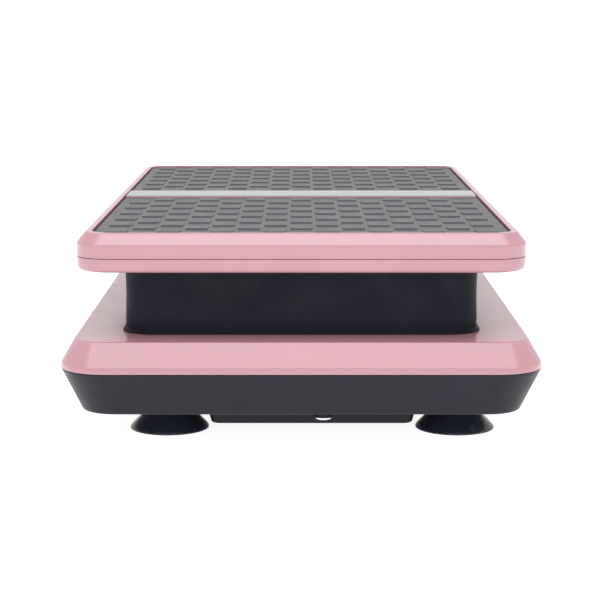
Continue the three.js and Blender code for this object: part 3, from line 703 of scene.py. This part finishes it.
def wall_opening(node, half_y, half_z):
    """A cutter through the tray's leaning +X wall, round a fitting's body."""
    opening = block("opening", (-16, -half_y, -half_z), (4, half_y, half_z))
    place = Vector((BASE[0] - TRAY_TAPER / 2, box_of(node)[2].y, WALL_MIDDLE)) * MM
    opening.data.transform(Matrix.Translation(place) @ Matrix.Rotation(WALL_LEAN, 4, "Y"))
    return opening


def make_base_tray():
    high = BASE_SEAM[0]
    levels = [
        inset(BASE, TRAY_TAPER + 12, BASE_BOTTOM, 6),
        inset(BASE, TRAY_TAPER, BASE_BOTTOM, TRAY_CORNER, 1.3),
        inset(BASE, 0.3, high, None, 0.4),
        inset(BASE, 0.3 + WALL, high, None, 0.3),
        inset(BASE, TRAY_TAPER + 1.6, BASE_BOTTOM + WALL, 14),
    ]
    cutters = [
        wall_opening("power_inlet", *INLET_OPENING),
        wall_opening("switch_housing", *SWITCH_OPENING),
    ]
    below = BASE_BOTTOM - 1
    above = BASE_BOTTOM + WALL + 1.5
    hole = [(0, below), (STUD_RADIUS + GAP, below), (STUD_RADIUS + GAP, above), (0, above)]
    for corner in CORNERS:
        cutters.append(screw_hole("base_screw_" + corner, BASE_BOTTOM, BASE_SCREW_DEEP))
        middle = box_of("foot_stud_" + corner)[2]
        cutters.append(lathe("stud hole", hole, (middle.x, middle.y)))
    return smooth(carve(loft("base_lower_casing", levels), cutters))


SLEEVE_THICK = 2.4
SLEEVE_CORNER = 12
SLEEVE_WAIST = 0.25  # how far its sides draw in at half height
SLEEVE_ROWS = 16
SLEEVE_SIDE_STEPS = 24
LIP_FLARE = 1.9  # its lip flares at the sides and not at the ends
LIP_CORNER = 16
LIP_TALL = 0.7
BOOT_TONGUE_IN = 3.3
BOOT_TONGUE_THICK = 2.3
BOOT_TONGUE_DEEP = 4


def make_neck_boot():
    top = PLATFORM_BOTTOM - 0.03
    seat = BASE_TOP + 0.05
    low = seat - BOOT_TONGUE_DEEP
    lip = (NECK[0] + LIP_FLARE, NECK[1], LIP_CORNER)
    bore_corner = SLEEVE_CORNER - SLEEVE_THICK
    outer_tongue = SLEEVE_CORNER - BOOT_TONGUE_IN
    inner_tongue = outer_tongue - BOOT_TONGUE_THICK
    levels = [
        inset(NECK, BOOT_TONGUE_IN, low, outer_tongue, 0.2),
        inset(NECK, BOOT_TONGUE_IN, seat, outer_tongue, 0.1),
        inset(lip, 0, seat, LIP_CORNER, 0.35),
        inset(lip, 0, seat + LIP_TALL, LIP_CORNER, 0.4),
        inset(NECK, 0, seat + 1.9, 14, 1.0),
        inset(NECK, 0, seat + 4.6, 12.4, 1.6),
    ]
    steps = range(SLEEVE_ROWS + 1)
    side_low = seat + 7
    side_tall = top - 1.2 - side_low
    for k in steps:
        draw_in = SLEEVE_WAIST * math.sin(math.pi * k / SLEEVE_ROWS)
        levels.append(inset(NECK, draw_in, side_low + side_tall * k / SLEEVE_ROWS, SLEEVE_CORNER))
    levels += [
        inset(NECK, 0, top, SLEEVE_CORNER, 0.3),
        inset(NECK, SLEEVE_THICK, top, bore_corner, 0.3),
    ]
    bore_tall = top - seat - 6
    for k in steps:
        levels.append(inset(NECK, SLEEVE_THICK, top - 2 - bore_tall * k / SLEEVE_ROWS, bore_corner))
    bore = BOOT_TONGUE_IN + BOOT_TONGUE_THICK
    levels += [
        inset(NECK, bore, seat + 3, inner_tongue, 0.5),
        inset(NECK, bore, low, inner_tongue, 0.2),
    ]
    return smooth(loft("neck_sleeve", levels, closed=True, side_steps=SLEEVE_SIDE_STEPS))


def make_suction_foot(corner):
    low, high, middle = box_of("suction_foot_" + corner)
    radius = (high.x - low.x) / 2
    outside = [(radius, 0.0), (radius, 0.35), (radius - 0.25, 0.85), (radius - 0.9, 1.7),
               (radius - 3, 3.9), (radius - 5.3, 6.2), (radius - 7.6, 8.6), (radius - 8.8, 10.2),
               (radius - 9.3, 12), (radius - 9.4, high.z)]
    inside = [(0, 6.6), (5, 6.3), (9, 5.6), (13.5, 3.5), (16.4, 1.3), (17.8, 0.25), (18.3, 0.0)]
    profile = curve_through(inside, 4) + curve_through(outside, 4) + [(0, high.z)]
    return smooth(lathe("suction_cup_" + corner, profile, (middle.x, middle.y)))


POD_TAPER = 2.2
LEDGE_DEEP = 2.5  # how far the cover's end is set back above the ledge
LEDGE_TOP = 9.6
LEDGE_FROM = 4.6  # the ledge runs from here to the cover's +X side
VENT_COUNT = 7
VENT_PITCH = 8
VENT_FROM = 70
VENT = (28, 1.5, 1.4)  # a vent's outline
VENT_DEEP = 1.4


def make_bottom_cover():
    low, high, middle = box_of("bottom_cover")
    pod = ((high.x - low.x) / 2, (high.y - low.y) / 2, 5)
    centre = (middle.x, middle.y)
    cover = loft("underside_cover", [
        inset(pod, 12, low.z, 3),
        inset(pod, POD_TAPER, low.z, 4, 1.2),
        inset(pod, 0, high.z, 5),
    ], centre=centre)
    cutters = []
    for end in (-1, 1):
        face = end * (high.y - LEDGE_DEEP)
        beyond = end * (high.y + 5)
        corners = ((LEDGE_FROM, min(face, beyond), LEDGE_TOP), (high.x + 5, max(face, beyond), high.z + 2))
        cutters.append(block("set back", *corners))
        for k in range(VENT_COUNT):
            y = end * (VENT_FROM + VENT_PITCH * k)
            levels = [inset(VENT, 0, low.z - 1), inset(VENT, 0, low.z + VENT_DEEP)]
            cutters.append(loft("vent", levels, centre=(middle.x, y)))
    return smooth(carve(cover, cutters))


EYE_STEPS = 32
EYE_HIDDEN = 2.3  # how much longer its legs are than the CAD's, inside the cover


def make_band_eye(node):
    """A flat wire eye for a resistance band, under one end of the base."""
    low, high, middle = box_of(node)
    side = -1 if middle.y < 0 else 1
    radius = (high.z - low.z) / 2
    bend = (high.x - low.x) / 2 - radius
    far = max(abs(low.y), abs(high.y)) - radius - bend
    root = min(abs(low.y), abs(high.y)) - EYE_HIDDEN
    arc = [(middle.x - bend * math.cos(t), side * (far + bend * math.sin(t)), middle.z)
           for t in (math.pi * k / EYE_STEPS for k in range(EYE_STEPS + 1))]
    ends = [(arc[0][0], side * root, middle.z), (arc[-1][0], side * root, middle.z)]
    eye = wire("band_eye_" + ("front" if side < 0 else "rear"), [ends[0], *arc, ends[1]], radius)
    return smooth(eye, math.radians(60))


def build_outside():
    stand_for(make_platform_top(), "pink_shell", "platform", "platform_top")
    stand_for(make_platform_base(), "pink_shell", "platform", "platform_base")
    stand_for(make_foot_mat("left_foot_mat", -1), "mat_rubber", "platform", "foot_mat_left")
    stand_for(make_foot_mat("right_foot_mat", 1), "mat_rubber", "platform", "foot_mat_right")
    stand_for(make_centre_strip(), "strip_plastic", "platform", "centre_strip")
    stand_for(make_base_cover(), "pink_shell", "base", "base_cover")
    stand_for(make_base_tray(), "charcoal_shell", "base", "base_tray")
    stand_for(make_bottom_cover(), "charcoal_shell", "base", "bottom_cover")
    for side, name in ((-1, "front"), (1, "rear")):
        stand_for(make_strip_rib(side), "pink_shell", "platform", "platform_top")
        stand_for(make_band_eye("band_anchor_" + name), "bright_steel", "base", "band_anchor_" + name)
    boot = stand_for(make_neck_boot(), "sleeve_rubber", None, "neck_boot")
    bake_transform(boot)
    for corner in CORNERS:
        stand_for(make_suction_foot(corner), "foot_rubber", "base", "suction_foot_" + corner)
        for body in ("base", "platform"):
            node = f"{body}_screw_{corner}"
            stand_for(make_screw(node), "zinc_steel", body, node)


# ---- CAD pieces that stay ----

KEPT_BEVEL = 0.25
KEPT_BEVEL_ANGLE = math.radians(40)


def dress_kept_nodes():
    slots = {row["node"]: row["material_slot"] for row in frame["record"]["subparts"]}
    for name, node in frame["nodes"].items():
        dress(node, slots[name])
        if node.hide_render:
            continue
        node.data.shade_smooth()
        node.data.set_sharp_from_angle(angle=SMOOTH_ANGLE)
        edge = node.modifiers.new("soft edges", "BEVEL")
        edge.width = KEPT_BEVEL * MM
        edge.segments = 2
        edge.limit_method = "ANGLE"
        edge.angle_limit = KEPT_BEVEL_ANGLE
        edge.harden_normals = True


# ---- stage ----


def make_camera():
    data = bpy.data.cameras.new("camera")
    data.sensor_width = SENSOR
    data.lens = CAMERA_LENS
    data.clip_start = 0.01
    data.clip_end = 100
    camera = bpy.data.objects.new("camera", data)
    bpy.context.scene.collection.objects.link(camera)
    camera.location = (CAMERA_ASIDE, -CAMERA_DISTANCE, CAMERA_HEIGHT)
    camera.rotation_euler = (math.pi / 2 - CAMERA_PITCH, 0, 0)
    bpy.context.scene.camera = camera


def area_light(name, place, aim, size, power):
    data = bpy.data.lights.new(name, "AREA")
    data.shape = "RECTANGLE"
    data.size, data.size_y = size
    data.energy = power
    light = bpy.data.objects.new(name, data)
    bpy.context.scene.collection.objects.link(light)
    light.location = place
    light.rotation_euler = (Vector(aim) - Vector(place)).to_track_quat("-Z", "Y").to_euler()


WORLD_LEVEL = 1.02
FLOOR_GLOW = 0.9  # the floor is lit from below like a photographer's light table
FLOOR_REACH = 6000
LIGHTS_AIM = (0, -0.19, 0.08)
# Two long panels in front of the object: a name, a place, a size and a power.
PANELS = (
    ("overhead", (0, -0.64, 1.38), (2.6, 0.44), 10.4),
    ("front", (0, -1.09, 1.15), (3.0, 0.6), 9.2),
)


def make_stage():
    world = bpy.data.worlds.new("studio")
    world.use_nodes = True
    background = world.node_tree.nodes["Background"]
    background.inputs["Color"].default_value = (1, 1, 1, 1)
    background.inputs["Strength"].default_value = WORLD_LEVEL
    bpy.context.scene.world = world
    r = FLOOR_REACH
    floor = from_points("floor", [(-r, -r, 0), (r, -r, 0), (r, r, 0), (-r, r, 0)], [(0, 1, 2, 3)])
    s = Shader("pale floor", (0.62, 0.62, 0.62), 0.95, Specular_IOR_Level=0.0)
    s.main.inputs["Emission Color"].default_value = (1, 1, 1, 1)
    s.main.inputs["Emission Strength"].default_value = FLOOR_GLOW
    s.vary_colour(s.noise(400, 2), 0.998, 1.0)
    floor.data.materials.append(s.material)
    for name, place, size, power in PANELS:
        area_light(name, place, LIGHTS_AIM, size, power)
    bpy.context.scene.view_settings.view_transform = "Standard"


make_camera()
build_outside()
dress_kept_nodes()
make_stage()
